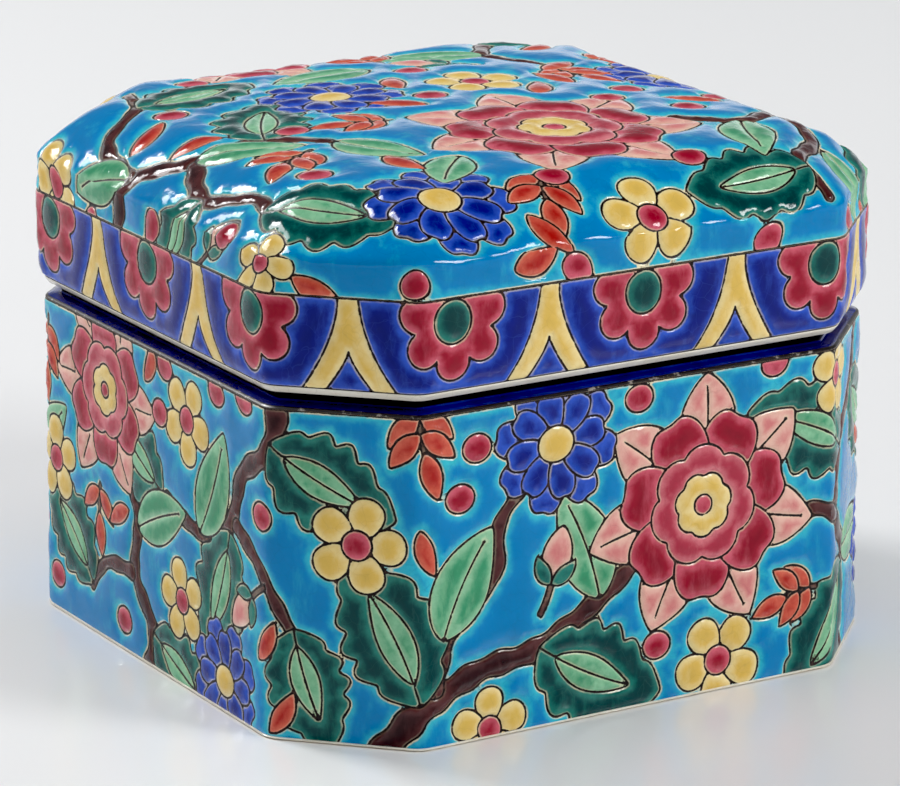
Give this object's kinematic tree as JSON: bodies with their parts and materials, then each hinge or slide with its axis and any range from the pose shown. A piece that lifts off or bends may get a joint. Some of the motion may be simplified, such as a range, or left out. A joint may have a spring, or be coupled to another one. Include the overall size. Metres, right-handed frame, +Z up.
{
  "type": "square lidded box",
  "caption": "Square box with cut corners and a domed lift-off lid, in glazed earthenware with flowers in thick enamel between dark outlines.",
  "frame": {"origin": "centre of the box's plan, on the surface that it stands on", "axes": "+Z up through the middle of the lid, +X and +Y square to the long sides"},
  "size_m": [0.112, 0.112, 0.0868],
  "materials": {
    "enamelled_glaze": "glossy crackled enamel in turquoise, cobalt, crimson, yellow and greens between sunk dark outlines",
    "plain_glaze": "glossy ivory glaze with fine crackle, on the inside and the underside",
    "bare_clay": "unglazed cream earthenware, matt, on the lid's rim and the foot ring"
  },
  "bodies": {
    "root": {"box_body": "enamelled_glaze", "lid": "enamelled_glaze"}
  },
  "joints": []
}
